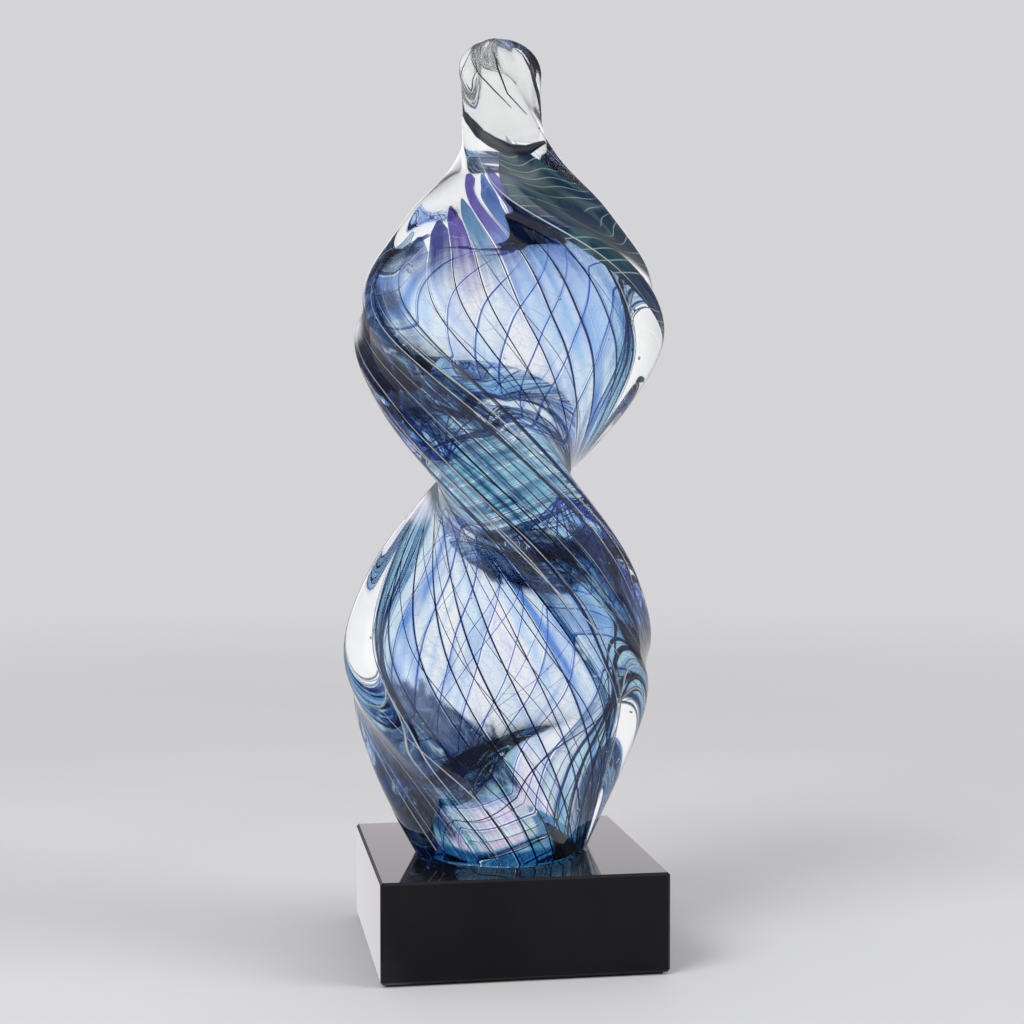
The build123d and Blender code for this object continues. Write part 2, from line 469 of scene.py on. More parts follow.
# Colours of the cane ends at the foot and below the neck
FOOT_COLOURS = (
    (0.10, 0.42, 0.50, 1), (0.95, 0.95, 1.0, 1), (0.30, 0.70, 0.52, 1),
    (0.93, 0.74, 0.88, 1), (0.30, 0.50, 0.90, 1), (0.97, 0.98, 1.0, 1),
)
TIP_COLOURS = (
    (0.02, 0.025, 0.22, 1), (0.20, 0.50, 0.38, 1), (0.09, 0.05, 0.36, 1),
    (0.03, 0.10, 0.36, 1), (0.06, 0.22, 0.42, 1),
)
CLEAR_TINT = (1.0, 1.0, 1.0, 1)
FACE_TINT = (0.88, 0.95, 1.0, 1)

# Dark patches of the ring: cane number, height in cm, and reach each way
PATCHES = (
    (14.4, 3.8, 2.6, 2.0), (21.9, 9.7, 2.6, 1.1), (1.2, 14.9, 1.0, 1.3), (23.5, 17.0, 2.2, 3.4),
    (0.0, 17.0, 2.4, 3.4), (0.3, 9.2, 1.5, 1.9), (12.0, 3.0, 1.6, 2.2),
)

# Bluer parts of the ring, measured the same way
VEILS = ((8.6, 18.2, 2.8, 2.6), (22.6, 6.5, 0.8, 3.0))

# Levels on the canes in cm: where a change begins, and where it is whole
CLEARING_LEVELS = (17.0, 20.0)
TIP_LEVELS = (19.0, 21.4)
FOOT_LEVELS = (3.4, 0.8)
FOOT_RING_LEVELS = (0.62, 0.48)

# Streaks by side, and how ragged or even the rest is
RIM_STREAKS = 0.85
FACE_STREAKS = 0.12
HALF_STREAKS = 0.55
TIP_RAGGEDNESS = 3.0
FOOT_BANDS = 3.0
PATCH_RAGGEDNESS = 2.4
PATCH_GRAIN = 0.14
FRONT_CLEARING = 0.4
BACK_CLEARING = 0.95
SWIRL_TURNS = 95.0


def zone_distance(tree, place, level, zones):
    """Squared distance from the nearest zone's middle, 1 at its edge."""
    nearest = 100.0
    for centre, height, wide, tall in zones:
        across = calc(tree, "DIVIDE", less(tree, place, centre), wide)
        upward = calc(tree, "DIVIDE", less(tree, level, height), tall)
        square = plus(tree, times(tree, across, across), times(tree, upward, upward))
        nearest = calc(tree, "MINIMUM", square, nearest)
    return nearest


def cane_streaks(tree, given, along, round_angle):
    """Streaks along the canes over their body colour, which is paler on the faces of some."""
    streak = ranged(tree, noised(tree, along, 1.0, detail=4.0, distortion=0.4), 0.42, 0.66)
    half = calc(tree, "MAXIMUM", calc(tree, "SINE", times(tree, round_angle, -2.0)), 0.0)
    turn = calc(tree, "ABSOLUTE", calc(tree, "COSINE", round_angle))
    rimward = plus(tree, times(tree, turn, RIM_STREAKS), FACE_STREAKS)
    rimward = plus(tree, rimward, times(tree, half, HALF_STREAKS))
    streak = times(tree, times(tree, streak, rimward), given["Streak amount"])
    face = times(tree, ranged(tree, turn, 0.96, 0.88), given["Face amount"])
    return mixed(tree, streak, mixed(tree, face, given["Body"], FACE_TINT), given["Streak"])


def cane_ends(tree, given, colour, along, place, level, round_angle):
    """Clears the canes towards the top, and dyes their ends at the foot and below the neck."""
    front = ranged(tree, calc(tree, "SINE", round_angle), -0.4, 0.1)
    clearing = less(tree, BACK_CLEARING, times(tree, front, BACK_CLEARING - FRONT_CLEARING))
    colour = mixed(tree, times(tree, ranged(tree, level, *CLEARING_LEVELS), clearing), colour, CLEAR_TINT)
    foot = times(tree, ranged(tree, level, *FOOT_LEVELS), given["Foot amount"])
    band = numbered(tree, times(tree, place, FOOT_BANDS))
    colour = mixed(tree, foot, colour, palette(tree, band, FOOT_COLOURS))
    colour = mixed(tree, ranged(tree, level, *FOOT_RING_LEVELS), colour, given["Foot ring"])
    ragged = plus(tree, level, times(tree, noised(tree, along, 2.0), TIP_RAGGEDNESS))
    tip = times(tree, times(tree, ranged(tree, ragged, *TIP_LEVELS), given["Tip amount"]), front)
    number = numbered(tree, plus(tree, place, 0.5))
    return mixed(tree, tip, colour, palette(tree, number, TIP_COLOURS))


def cane_zones(tree, given, colour, place, level):
    """Blue veils and ragged dark patches in their places on the ring."""
    veil = ranged(tree, zone_distance(tree, place, level, VEILS), 1.2, 0.2)
    colour = mixed(tree, times(tree, veil, given["Veil amount"]), colour, given["Veil"])
    broad = scaled(tree, given["Vector"], (0.6, 0.45, 1))
    cloud = less(tree, noised(tree, broad, 1.6, detail=5.0, distortion=0.6), 0.5)
    cloud = times(tree, cloud, PATCH_RAGGEDNESS)
    patch = ranged(tree, plus(tree, zone_distance(tree, place, level, PATCHES), cloud), 1.0, 0.55)
    fine = scaled(tree, given["Vector"], (2.6, 0.9, 1))
    grain = ranged(tree, noised(tree, fine, 1.7, detail=4.0, distortion=0.5), 0.34, 0.6)
    patch = times(tree, patch, plus(tree, times(tree, grain, PATCH_GRAIN), 1 - PATCH_GRAIN))
    return mixed(tree, times(tree, patch, given["Patch amount"]), colour, given["Patch"])


def cane_lines(tree, given, colour):
    """A fine crackle and drawn-out swirl lines over the rest."""
    cells = tree.nodes.new("ShaderNodeTexVoronoi")
    cells.feature = "DISTANCE_TO_EDGE"
    fed(tree, cells, Vector=scaled(tree, given["Vector"], (1.0, 1.1, 1)), Scale=1.5, Randomness=0.9)
    crack = ranged(tree, cells.outputs[0], 0.03, 0.0)
    colour = mixed(tree, times(tree, crack, given["Crackle amount"]), colour, given["Crackle"])
    drawn = scaled(tree, given["Vector"], (0.55, 0.22, 1))
    swell = noised(tree, drawn, 1.0, detail=2.0, distortion=1.2)
    swirl = ranged(tree, calc(tree, "SINE", times(tree, swell, SWIRL_TURNS)), 0.86, 1.0)
    return mixed(tree, times(tree, swirl, given["Swirl amount"]), colour, given["Swirl"])


def make_cane_glass():
    """The glass of the canes. Its vector is the cane number and the height in cm."""
    inputs = (
        ("Vector", VECTOR, None),
        ("Body", COLOUR, None),
        ("Streak", COLOUR, None),
        ("Streak amount", NUMBER, None),
        ("Face amount", NUMBER, 0.0),
        ("Crackle", COLOUR, None),
        ("Crackle amount", NUMBER, None),
        ("Swirl", COLOUR, (0.8, 0.9, 0.9, 1)),
        ("Swirl amount", NUMBER, 0.0),
        ("Patch", COLOUR, (0.006, 0.05, 0.15, 1)),
        ("Patch amount", NUMBER, 0.97),
        ("Veil", COLOUR, (0.22, 0.48, 0.92, 1)),
        ("Veil amount", NUMBER, 0.5),
        ("Foot amount", NUMBER, 0.6),
        ("Foot ring", COLOUR, (0.08, 0.28, 0.48, 1)),
        ("Tip amount", NUMBER, 0.95),
    )
    tree, given, result = new_tree("Cane glass", "ShaderNodeTree", inputs, (("Color", COLOUR),))
    place, level = axes_of(tree, given["Vector"])[:2]
    along = scaled(tree, given["Vector"], (2.2, 0.16, 1))
    round_angle = times(tree, place, 2 * math.pi / CANES)
    colour = cane_streaks(tree, given, along, round_angle)
    colour = cane_ends(tree, given, colour, along, place, level, round_angle)
    colour = cane_zones(tree, given, colour, place, level)
    fed(tree, result, Color=cane_lines(tree, given, colour))
    return tree


def make_swirl_glass():
    """Fine pale lines and broad soft ones drawn across a dark body with blue parts."""
    inputs = (
        ("Vector", VECTOR, None),
        ("Body", COLOUR, (0.028, 0.12, 0.16, 1)),
        ("Deep", COLOUR, (0.014, 0.055, 0.17, 1)),
        ("Smoke", COLOUR, (0.16, 0.36, 0.38, 1)),
        ("Smoke amount", NUMBER, 0.5),
        ("Smoke pace", NUMBER, 5.0),
        ("Line", COLOUR, (0.66, 0.88, 0.88, 1)),
        ("Line amount", NUMBER, 0.9),
        ("Line pace", NUMBER, 20.0),
        ("Bend", NUMBER, 30.0),
    )
    tree, given, result = new_tree("Swirl glass", "ShaderNodeTree", inputs, (("Color", COLOUR),))
    level = axes_of(tree, given["Vector"])[1]
    slow = scaled(tree, given["Vector"], (0.45, 0.45, 1))
    blue = ranged(tree, noised(tree, slow, 1.7, detail=3.0, distortion=0.5), 0.44, 0.6)
    colour = mixed(tree, blue, given["Body"], given["Deep"])
    bend = times(tree, noised(tree, slow, 1.2, detail=0.0), given["Bend"])
    smoke = ranged(tree, waved(tree, level, given["Smoke pace"], bend), 0.3, 1.0)
    colour = mixed(tree, times(tree, smoke, given["Smoke amount"]), colour, given["Smoke"])
    line = ranged(tree, waved(tree, level, given["Line pace"], bend), 0.92, 0.999)
    group = ranged(tree, noised(tree, slow, 1.6, detail=1.0), 0.38, 0.58)
    line = times(tree, times(tree, line, group), given["Line amount"])
    fed(tree, result, Color=mixed(tree, line, colour, given["Line"]))
    return tree


def make_mottle():
    """Two close colours mixed by a soft noise."""
    inputs = (
        ("Vector", VECTOR, None),
        ("First", COLOUR, None),
        ("Second", COLOUR, None),
        ("Scale", NUMBER, None),
    )
    outputs = (("Color", COLOUR), ("Fac", NUMBER))
    tree, given, result = new_tree("Mottle", "ShaderNodeTree", inputs, outputs)
    grain = noised(tree, given["Vector"], given["Scale"])
    soft = ranged(tree, grain, 0.35, 0.65)
    fed(tree, result, Color=mixed(tree, soft, given["First"], given["Second"]), Fac=grain)
    return tree


CANE_GLASS = make_cane_glass()
SWIRL = make_swirl_glass()
MOTTLE = make_mottle()


# Materials
def material(name, **settings):
    """A Principled material, with its plain values set on the shader's own sockets."""
    made = bpy.data.materials.new(name)
    made.use_nodes = True
    shader = made.node_tree.nodes["Principled BSDF"]
    fed(made.node_tree, shader, **settings)
    return made, made.node_tree, shader


def use_group(tree, group, **values):
    node = tree.nodes.new("ShaderNodeGroup")
    node.node_tree = group
    return fed(tree, node, **values).outputs


def object_place(tree):
    return tree.nodes.new("ShaderNodeTexCoord").outputs["Object"]


def cane_place(tree):
    node = tree.nodes.new("ShaderNodeUVMap")
    node.uv_map = "CaneUV"
    return node.outputs[0]


def facing(tree, low, high):
    """How far a surface turns away from the eye."""
    weight = fed(tree, tree.nodes.new("ShaderNodeLayerWeight"), Blend=0.5)
    return ranged(tree, weight.outputs["Facing"], low, high)


def cane_material(name, transmission, rim, **values):
    """Thin coloured glass: its colour deepens where it is seen along its length."""
    made, tree, shader = material(name, Transmission_Weight=transmission, IOR=1.0, Roughness=0.0)
    colour = use_group(tree, CANE_GLASS, Vector=cane_place(tree), **values)[0]
    fed(tree, shader, Base_Color=mixed(tree, facing(tree, 0.62, 0.98), colour, rim))
    return made


def swirl_material(name, transmission, **values):
    made, tree, shader = material(name, Transmission_Weight=transmission, IOR=1.0, Roughness=0.0)
    fed(tree, shader, Base_Color=use_group(tree, SWIRL, Vector=cane_place(tree), **values)[0])
    return made


def mottled_parts(name, first, second, scale, **settings):
    """A mottled material, its tree, its shader, and the mottle's colour and grain."""
    made, tree, shader = material(name, **settings)
    place = object_place(tree)
    colour, grain = use_group(tree, MOTTLE, Vector=place, First=first, Second=second, Scale=scale)
    fed(tree, shader, Base_Color=colour)
    return made, tree, shader, colour, grain


def mottled_material(name, first, second, scale, **settings):
    return mottled_parts(name, first, second, scale, **settings)[0]


def make_clear_glass():
    """Clear glass with a dark rim of painted shade where it turns from the eye, most of it for the camera.
    """
    # Painted shade: this dark colour is mixed into the glass where it turns from the eye, standing in for
    # the dark outlines that refraction gives
    rim = (0.06, 0.09, 0.12, 1)
    unseen_rim_shade = 0.3
    made, tree, shader, colour, _grain = mottled_parts(
        "Clear glass", (0.985, 0.995, 0.995, 1), (0.975, 0.99, 0.99, 1), 30.0,
        Transmission_Weight=1.0, IOR=1.5, Roughness=0.0,
    )
    seen = tree.nodes.new("ShaderNodeLightPath").outputs["Is Camera Ray"]
    amount = plus(tree, times(tree, seen, 1 - unseen_rim_shade), unseen_rim_shade)
    amount = times(tree, facing(tree, 0.62, 0.95), amount)
    fed(tree, shader, Base_Color=mixed(tree, amount, colour, rim))
    return made


def make_navy():
    """Stringer glass, paler where a line's tone says so."""
    pale = (0.20, 0.34, 0.85, 1)
    made, tree, shader, colour, _grain = mottled_parts(
        "Navy stringer", (0.008, 0.015, 0.09, 1), (0.02, 0.04, 0.18, 1), 60.0,
        Roughness=0.0, IOR=1.0, Transmission_Weight=0.7,
    )
    tone = tree.nodes.new("ShaderNodeAttribute")
    tone.attribute_name = "thread_tone"
    fed(tree, shader, Base_Color=mixed(tree, tone.outputs["Fac"], colour, pale))
    return made


def make_black_glass():
    roughest = 0.08
    made, tree, shader, _colour, grain = mottled_parts(
        "Black glass", (0.004, 0.004, 0.005, 1), (0.007, 0.007, 0.009, 1), 25.0, Specular_IOR_Level=0.14
    )
    fed(tree, shader, Roughness=times(tree, grain, roughest))
    return made


def make_felt():
    made, tree, shader, _colour, grain = mottled_parts(
        "Felt", (0.012, 0.012, 0.013, 1), (0.03, 0.03, 0.032, 1), 900.0, Roughness=0.95
    )
    bump = fed(tree, tree.nodes.new("ShaderNodeBump"), Strength=0.5, Distance=0.0003, Height=grain)
    fed(tree, shader, Normal=bump.outputs[0])
    return made


CLEAR = make_clear_glass()
CORE = mottled_material(
    "Core glass", (1.0, 1.0, 1.0, 1), (0.985, 0.99, 1.0, 1), 45.0,
    Transmission_Weight=1.0, IOR=1.0, Roughness=0.0,
)
NAVY = make_navy()
# White threads that paint highlight lines in the glass
WHITE_HIGHLIGHT = mottled_material("White highlight stringer", (0.95, 0.97, 0.98, 1), (0.86, 0.92, 0.95, 1), 80.0, Roughness=0.3)
INK = mottled_material("Ink stringer", (0.010, 0.012, 0.025, 1), (0.02, 0.024, 0.05, 1), 60.0, Roughness=0.3)
OPAL_GLASS = cane_material(
    "Opal glass", 0.975, (0.30, 0.50, 0.90, 1),
    Body=(1.0, 1.0, 1.0, 1), Streak=(0.58, 0.79, 1.0, 1), Streak_amount=0.85,
    Crackle=(0.5, 0.62, 0.88, 1), Crackle_amount=0.45,
)
BLUE_GLASS = cane_material(
    "Blue glass", 0.98, (0.10, 0.27, 0.74, 1),
    Body=(0.86, 0.94, 1.0, 1), Streak=(0.14, 0.34, 0.80, 1), Streak_amount=0.9,
    Crackle=(0.35, 0.5, 0.86, 1), Crackle_amount=0.3,
)
TEAL_GLASS = cane_material(
    "Teal glass", 0.97, (0.05, 0.20, 0.44, 1),
    Body=(0.50, 0.77, 0.87, 1), Streak=(0.045, 0.18, 0.38, 1), Streak_amount=0.95,
    Crackle=(0.85, 0.93, 1.0, 1), Crackle_amount=0.15,
    Swirl=(0.80, 0.93, 0.95, 1), Swirl_amount=0.6, Face_amount=0.85, Tip_amount=0.5,
)
VIOLET_GLASS = cane_material(
    "Violet glass", 0.98, (0.20, 0.28, 0.76, 1),
    Body=(0.97, 0.97, 1.0, 1), Streak=(0.74, 0.80, 0.98, 1), Streak_amount=0.85,
    Crackle=(0.45, 0.5, 0.85, 1), Crackle_amount=0.3,
)
SWIRL_GLASS = swirl_material("Swirl glass", 0.25)
# A near-white sheet that paints the bright light seen through the tip
PAINTED_LIGHT_GLASS = swirl_material(
    "Painted light glass", 0.83, Body=(1.0, 1.0, 0.995, 1), Deep=(0.98, 0.985, 0.99, 1),
    Smoke=(0.95, 0.955, 0.96, 1), Line_amount=0.0,
)
BLACK = make_black_glass()
FELT = make_felt()
ADHESIVE = mottled_material(
    "Adhesive", (0.95, 0.96, 0.95, 1), (0.9, 0.92, 0.92, 1), 200.0,
    Transmission_Weight=1.0, IOR=1.0, Roughness=0.0,
)


# Seed bubbles: place and size in mm
BUBBLES = 60
BUBBLE_HEIGHTS = (12, 214)
BUBBLE_DEPTHS = (-4.0, -1.4)
SMALL_BUBBLES = (0.18, 0.5)
LARGE_BUBBLES = (0.6, 0.9)
LARGE_EVERY = 6
BUBBLE_STRETCH = (1, 1, 1.3)

# Gaps and sheets inside the glass, in mm
FOOT_GAP = 0.5
CORE_FOOT_GAP = 0.6
CORE_GAP = 0.5
CORE_RISE = 4.0
BAR_SKIN = 0.05
BAR_GAP_SHARE = 0.08
SHEET_THICKNESS = 0.35

# The pointed ends of the bars
BAR_REACH = (-3, 6)
BAR_LEAN = (0.3, 0.7)
BAR_FALL = (4, 11)
BAR_POINT = 1.4

# The swirled sheet under one narrow side, below the tip
SWIRL_SHARE = 0.5
SWIRL_HEIGHTS = (160, 226)
SWIRL_DEPTH = 2.6
SWIRL_SPREAD = 1.125
SWIRL_ARCH = -0.5

# The pale leaf in the tip, which paints the bright light seen through it, and the glass over its dark
# outlines of painted shade
LEAF_HEIGHTS = (224.5, 261.0)
LEAF_DEPTH = 1.8
SHADE_OUTLINE_COVER = 0.9

# Dark outlines of painted shade round the tip, seen from the front: across from the axis, height and radius
SHADE_OUTLINE_LEFT = np.array((
    (12.5, 227.5, 0.6), (7.0, 224.6, 1.8), (1.7, 224.2, 2.4), (-3.5, 226.8, 2.2),
    (-7.4, 230.0, 1.6), (-10.7, 235.1, 1.1), (-13.0, 240.9, 0.5), (-13.6, 247.4, 0.25),
    (-12.9, 251.9, 0.15), (-10.5, 257.0, 0.12), (-6.4, 260.4, 0.1),
))
SHADE_OUTLINE_RIGHT = np.array((
    (10.6, 232.0, 0.3), (10.6, 239.6, 0.9), (9.9, 246.1, 1.0),
    (8.3, 252.5, 0.7), (5.6, 257.0, 0.2), (1.0, 260.4, 0.1),
))
SHADE_OUTLINE_FOLD = np.array(((-3.2, 256.0, 0.2), (-1.9, 250.6, 0.28), (1.1, 242.8, 0.2), (7.0, 236.3, 0.15)))
SHADE_OUTLINE_VEIN = np.array(((-10.0, 254.4, 0.1), (-7.4, 249.3, 0.22), (-2.9, 244.1, 0.22), (2.4, 238.3, 0.1)))


# Pieces that are closed shapes
def ball_shape():
    """A ball of radius 1 that faces inwards."""
    around, rows = 8, 5
    turn = np.arange(around) / around * 2 * math.pi
    lift = np.radians(np.linspace(-90, 90, rows + 2))[1:-1]
    ring = np.stack((
        np.outer(np.cos(lift), np.cos(turn)),
        np.outer(np.cos(lift), np.sin(turn)),
        np.outer(np.sin(lift), np.ones(around)),
    ), -1).reshape(-1, 3)
    ball = np.concatenate((ring, ((0, 0, 1), (0, 0, -1))))
    return ball, [face[::-1] for face in pointed_faces(rows, around)]


def seed_bubbles():
    """Small bubbles in the clear glass outside the ring, as hollows that face inwards."""
    ball, faces = ball_shape()
    places, shells = [], []
    for i in range(BUBBLES):
        height = rng.uniform(*BUBBLE_HEIGHTS)
        middle = ring_place(np.array(height), rng.uniform(*BUBBLE_DEPTHS), rng.uniform(0, 1))
        size = rng.uniform(*SMALL_BUBBLES) if i % LARGE_EVERY else rng.uniform(*LARGE_BUBBLES)
        shells.extend([i * len(ball) + n for n in face] for face in faces)
        places.append(middle + ball * size * BUBBLE_STRETCH)
    return np.concatenate(places), shells


def make_casing():
    """The clear outer glass with its rounded tip and its bubbles."""
    around, body_rows, tip_rows = 192, 240, 16
    tip = np.radians(np.linspace(0, 90, tip_rows + 1)[1:-1])
    tip_heights = FINGER_HEIGHT + (GLASS_HEIGHT - FINGER_HEIGHT) * np.sin(tip)
    heights = np.concatenate((np.linspace(0, FINGER_HEIGHT, body_rows), tip_heights))
    shrink = np.concatenate((np.ones(body_rows), np.cos(tip)))
    share = np.arange(around) / around
    half_width = (measure(heights, WIDTH) / 2 * shrink)[:, None]
    half_thickness = (measure(heights, THICKNESS) / 2 * shrink)[:, None]
    corner = np.minimum((measure(heights, CORNER) * shrink)[:, None], CORNER_LIMIT * half_thickness)
    x, y = round_place(half_width, half_thickness, corner, share[None, :])
    z = np.repeat(heights[:, None], around, 1)
    places = np.concatenate((np.stack((x, y, z), -1).reshape(-1, 3), ((0, 0, GLASS_HEIGHT), (0, 0, 0))))
    faces = pointed_faces(len(heights), around)
    seeds, shells = seed_bubbles()
    faces.extend([len(places) + n for n in face] for face in shells)
    places = np.concatenate((places, seeds))
    return grown(new_mesh("clear_casing_glass", places, faces), TWISTED_PIECE, Material=CLEAR)


def make_core():
    around, rows = 96, 150
    heights = np.linspace(CORE_FOOT_GAP, COLOUR_HEIGHT + CORE_RISE, rows)
    share = np.arange(around) / around
    places = ring_place(heights[:, None], RING_THICKNESS + CORE_GAP, share[None, :]).reshape(-1, 3)
    faces = tube_faces(rows, around)
    faces.append(range(around - 1, -1, -1))
    faces.append(range((rows - 1) * around, rows * around))
    return grown(new_mesh("core_gather_glass", places, faces), TWISTED_PIECE, Material=CORE)


def closed_strip(outer, inner, uv):
    """Two sheets, as rows of places, joined all round to one thin closed strip."""
    loop = np.concatenate((outer, inner[:, ::-1]), 1)
    rows, around = loop.shape[:2]
    faces = tube_faces(rows, around)
    last = (rows - 1) * around
    for j in range(around // 2 - 1):
        k = around - 1 - j
        faces.append((j + 1, j, k, k - 1))
        faces.append((last + j, last + j + 1, last + k - 1, last + k))
    return loop.reshape(-1, 3), faces, np.concatenate((uv, uv[:, ::-1]), 1).reshape(-1, 2)


def bar_shape(number, reach):
    """One cane of the ring with a pointed top, as a closed thin strip."""
    rows, across = 130, 9
    gap = BAR_GAP_SHARE / CANES
    start, end = (number - 0.5) / CANES + gap, (number + 0.5) / CANES - gap
    u = np.linspace(0, 1, across)
    lean = rng.uniform(*BAR_LEAN)
    edge = np.abs(u - lean) / max(lean, 1 - lean)
    top = colour_top(start + (end - start) * u) + reach - rng.uniform(*BAR_FALL) * edge**BAR_POINT
    v = np.linspace(0, 1, rows)
    height = FOOT_GAP + v[:, None] * (top[None, :] - FOOT_GAP)
    share = np.broadcast_to(start + (end - start) * u, height.shape)
    outer = ring_place(height, BAR_SKIN, share)
    inner = ring_place(height, RING_THICKNESS - BAR_SKIN, share)
    return closed_strip(outer, inner, np.stack((share * CANES, height / 10), -1))


def swirl_sheet():
    """A leaf of swirled glass just under one narrow side of the slab, its lines arched across it."""
    rows, across = 110, 28
    low, high = SWIRL_HEIGHTS
    t = np.linspace(0, 1, rows)[:, None]
    u = np.linspace(-1, 1, across)[None, :]
    height = low + (high - low) * (t + 0.03 * np.sin(u * 4 + 1) * np.sin(math.pi * t))
    reach = u * np.sin(math.pi * (0.004 + 0.992 * t)) ** 0.5
    share = SWIRL_SHARE + reach * SWIRL_SPREAD * corner_share(height, SWIRL_DEPTH)
    outer = wall_place(height, SWIRL_DEPTH, share)
    inner = wall_place(height, SWIRL_DEPTH + SHEET_THICKNESS, share)
    drawn = 0.9 * reach
    uv = np.stack(np.broadcast_arrays(2.0 * drawn, height / 10 + SWIRL_ARCH * drawn**2), -1)
    return closed_strip(outer, inner, uv)


def tip_painted_light_leaf():
    """A pale leaf under the front of the tip, which paints the bright light seen through it, between the two
    dark outlines of painted shade.
    """
    rows, across = 60, 20
    height = np.linspace(*LEAF_HEIGHTS, rows)
    left = np.interp(height, SHADE_OUTLINE_LEFT[:, 1], SHADE_OUTLINE_LEFT[:, 0])
    right = np.interp(height, SHADE_OUTLINE_RIGHT[:, 1], SHADE_OUTLINE_RIGHT[:, 0])
    wanted = left[:, None] + (right - left)[:, None] * np.linspace(0, 1, across)
    tall = np.repeat(height, across)
    outer, inner = (
        front_place(tall, wanted.ravel(), depth).reshape(rows, across, 3)
        for depth in (LEAF_DEPTH, LEAF_DEPTH + SHEET_THICKNESS)
    )
    uv = np.stack((wanted / 10, np.broadcast_to(height[:, None] / 10, wanted.shape)), -1)
    return closed_strip(outer, inner, uv)


def make_strips(name, shapes, finish):
    places, faces, uvs, first = [], [], [], 0
    for p, f, uv in shapes:
        places.append(p)
        uvs.append(uv)
        faces.extend([[first + i for i in face] for face in f])
        first += len(p)
    obj = new_mesh(name, np.concatenate(places), faces)
    uv_values(obj, np.concatenate(uvs))
    return grown(obj, TWISTED_PIECE, Material=finish)


def make_bars(name, numbers, finish):
    return make_strips(name, [bar_shape(number, rng.uniform(*BAR_REACH)) for number in numbers], finish)


# Pieces that are threads: each line has places, radii and tones
def make_threads(name, lines, finish, sides=6):
    places, edges, radii, tones, first = [], [], [], [], 0
    for line, radius, tone in lines:
        count = len(line)
        places.append(line)
        radii.append(np.broadcast_to(radius, count))
        tones.append(np.broadcast_to(tone, count))
        edges.extend((first + i, first + i + 1) for i in range(count - 1))
        first += count
    obj = new_mesh(name, np.concatenate(places), (), edges)
    point_values(obj, "thread_radius", np.concatenate(radii) * MM)
    point_values(obj, "thread_tone", np.concatenate(tones))
    return grown(obj, DRAWN_THREADS, Material=finish, Sides=sides)


DARK_TONE, MIDDLE_TONE = 0.0, 0.5
DRIFT_WAVES = (90.0, 47.0, 23.0)

# Lines: depth below the outside of the ring, or of the slab for the creases, and radius, in mm
STRINGER_DEPTH, STRINGER_RADII = 0.6, (0.23, 0.37)
HAIR_DEPTHS, HAIR_RADII = (-0.5, 1.8), (0.09, 0.21)
HIGHLIGHT_DEPTH, HIGHLIGHT_RADII = -0.6, (0.09, 0.16)
WAIST_DEPTH, WAIST_RADII = -0.7, (0.09, 0.17)
CREASE_DEPTH, CREASE_RADIUS = 2.2, 0.18

# Shares of the way round for the fine white threads that paint highlight lines, and for the hairs at the
# waist
HIGHLIGHT_SHARES = (0.065, 0.085, 0.43, 0.45, 0.555, 0.57, 0.92, 0.94, 0.99, 0.02, 0.5)
WAIST_SHARES = np.linspace(-0.1, 0.1, 11)

# Creases, where white threads paint highlight lines: share at the middle of the narrow side, way round from
# it, lowest and highest point
CREASES = (
    (0.5, -1, 4, 54), (0.5, 1, 4, 54), (0.5, -1, 176, 228),
    (0.5, 1, 176, 228), (0.0, 1, 60, 184), (1.0, -1, 60, 184),
)


def drift(height, size):
    """A slow wander along a line."""
    out = np.zeros_like(height)
    for wave in DRIFT_WAVES:
        part = wave / DRIFT_WAVES[0]
        out += rng.uniform(-1, 1) * np.sin(height / wave * 2 * math.pi + rng.uniform(0, 6.3)) * part
    return out * size


def taper(height, length, least, both=False):
    """Thins a line towards its upper end, or towards both."""
    room = height[-1] - height
    if both:
        room = np.minimum(room, height - height[0])
    return np.clip(room / length, least, 1)


def hump(value, middle, reach):
    return np.exp(-(((value - middle) / reach) ** 2))


def paleness(height, share):
    """Lines thin out to a paler blue on the face that turns away from the front."""
    turned = eased(height, 95, 145)
    front = hump(np.mod(share + 0.5, 1.0), 0.5, 0.09)
    return np.clip(0.5 - np.sin(2 * math.pi * share) * (2 * turned - 1) * 0.9 - 0.6 * front, 0, 1)


def behind_waist(height, share):
    """How much a line lies on the narrow side behind the waist."""
    return hump(np.mod(share, 1.0), 0.5, 0.09) * hump(height, 118, 34)


def stringer_lines():
    """A line between every two canes."""
    for number in CANE_NUMBERS:
        share = (number - 0.5) / CANES
        height = np.linspace(0.8, colour_top(share) + rng.uniform(-12, 4), 170)
        soft = behind_waist(height, share)
        tone = np.maximum(paleness(height, share), soft)
        radius = rng.uniform(*STRINGER_RADII) * taper(height, 18, 0.08) * (1 + drift(height, 0.18))
        radius = radius * (1 - 0.3 * tone) * (1 - 0.6 * soft)
        yield ring_place(height, STRINGER_DEPTH, share + drift(height, 0.0015)), radius, tone


def hair_lines():
    """A finer line up every cane, some of them ending low."""
    for number in CANE_NUMBERS:
        share = (number + rng.uniform(-0.25, 0.25)) / CANES
        height = np.linspace(1.5, colour_top(share) + rng.uniform(-70, 0), 150)
        tone = paleness(height, share)
        radius = rng.uniform(*HAIR_RADII) * taper(height, 25, 0.15)
        radius = radius * (1 - 0.4 * tone) * (1 - 0.7 * behind_waist(height, share))
        depth = rng.choice(HAIR_DEPTHS)
        lean = rng.uniform(0.0004, 0.0018) * (height - 80)
        yield ring_place(height, depth, share - lean + drift(height, 0.004)), radius, tone


def highlight_lines():
    """Fine white threads along the corners of the ring, which paint highlight lines."""
    for share in HIGHLIGHT_SHARES:
        height = np.linspace(4, colour_top(share) + rng.uniform(-10, 6), 160)
        radius = rng.uniform(*HIGHLIGHT_RADII) * taper(height, 25, 0.2)
        radius = radius * (1 - 0.8 * behind_waist(height, share))
        yield ring_place(height, HIGHLIGHT_DEPTH, share + drift(height, 0.003)), radius, MIDDLE_TONE


